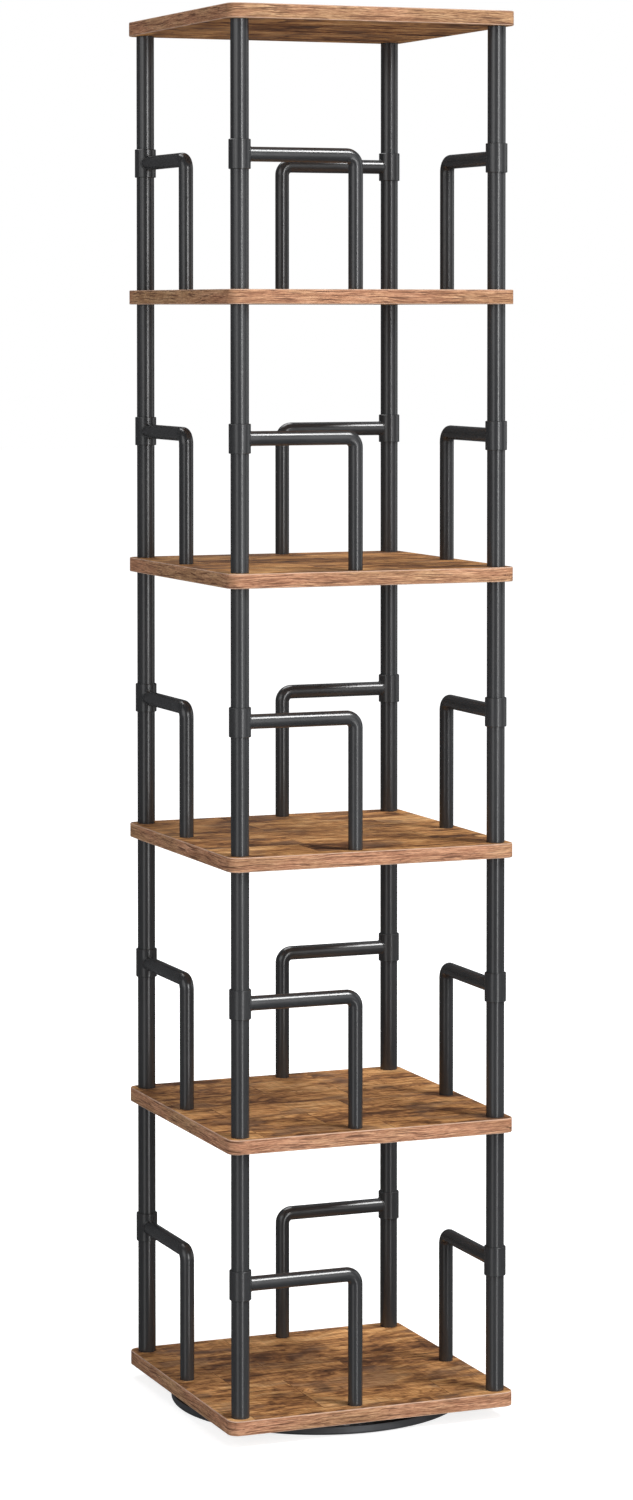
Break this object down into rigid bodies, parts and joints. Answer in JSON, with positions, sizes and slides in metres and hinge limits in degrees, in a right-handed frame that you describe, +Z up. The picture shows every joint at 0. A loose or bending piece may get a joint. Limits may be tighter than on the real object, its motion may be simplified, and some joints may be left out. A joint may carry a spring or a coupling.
{
  "type": "rotating bookshelf",
  "caption": "Rotating tower bookshelf: square rustic wood boards on black tube posts with bent guard rails, turning on a ball bearing in a low round base pan.",
  "frame": {"origin": "on the floor, on the axis on which the tower turns, which is the middle of the square boards", "axes": "+Z up along the turning axis, +X and +Y square to the boards' edges, the front side facing -Y"},
  "size_m": [0.336, 0.336, 1.5555],
  "materials": {
    "board_laminate": "matt laminate with a rustic brown wood pattern",
    "edge_band": "matt reddish tan edge band with fine dark grain",
    "frame_black": "satin charcoal black powder coat",
    "pan_grey": "satin dark grey powder coat",
    "ring_alloy": "turned, fine rings",
    "cage_nylon": "matt natural nylon",
    "ball_steel": "polished",
    "zinc_steel": "bright zinc plate",
    "bolt_black": "black oxide",
    "pad_rubber": "matt black rubber"
  },
  "bodies": {
    "base": {"base_pan": "pan_grey", "floor_pads": "pad_rubber", "bearing_outer_ring": "ring_alloy", "outer_ring_screws": "zinc_steel"},
    "cage": {"ball_cage": "cage_nylon", "bearing_balls": "ball_steel"},
    "tower": {"post_1_front_left": "frame_black", "post_1_front_right": "frame_black", "post_1_back_right": "frame_black", "post_1_back_left": "frame_black", "post_2_front_left": "frame_black", "post_2_front_right": "frame_black", "post_2_back_right": "frame_black", "post_2_back_left": "frame_black", "post_3_front_left": "frame_black", "post_3_front_right": "frame_black", "post_3_back_right": "frame_black", "post_3_back_left": "frame_black", "post_4_front_left": "frame_black", "post_4_front_right": "frame_black", "post_4_back_right": "frame_black", "post_4_back_left": "frame_black", "post_5_front_left": "frame_black", "post_5_front_right": "frame_black", "post_5_back_right": "frame_black", "post_5_back_left": "frame_black", "guard_rail_1_front": "frame_black", "guard_rail_1_right": "frame_black", "guard_rail_1_back": "frame_black", "guard_rail_1_left": "frame_black", "guard_rail_2_front": "frame_black", "guard_rail_2_right": "frame_black", "guard_rail_2_back": "frame_black", "guard_rail_2_left": "frame_black", "guard_rail_3_front": "frame_black", "guard_rail_3_right": "frame_black", "guard_rail_3_back": "frame_black", "guard_rail_3_left": "frame_black", "guard_rail_4_front": "frame_black", "guard_rail_4_right": "frame_black", "guard_rail_4_back": "frame_black", "guard_rail_4_left": "frame_black", "guard_rail_5_front": "frame_black", "guard_rail_5_right": "frame_black", "guard_rail_5_back": "frame_black", "guard_rail_5_left": "frame_black", "bottom_board": "board_laminate", "shelf_board_1": "board_laminate", "shelf_board_2": "board_laminate", "shelf_board_3": "board_laminate", "shelf_board_4": "board_laminate", "top_board": "board_laminate", "edge_bands": "edge_band", "bearing_inner_ring": "ring_alloy", "inner_ring_screws": "zinc_steel", "post_plugs": "zinc_steel", "board_studs": "zinc_steel", "foot_plugs": "zinc_steel", "foot_screws": "zinc_steel", "post_bolts": "bolt_black"}
  },
  "joints": [
    {"name": "tower_spin", "type": "hinge", "parent": "base", "child": "tower", "pos_m": [0, 0, 0.00875], "axis": [0, 0, 1], "continuous": true},
    {"name": "cage_spin", "type": "hinge", "parent": "base", "child": "cage", "pos_m": [0, 0, 0.00875], "axis": [0, 0, 1], "continuous": true}
  ],
  "couplings": [
    {"joint": "cage_spin", "follows": "tower_spin", "ratio": 0.4896}
  ]
}
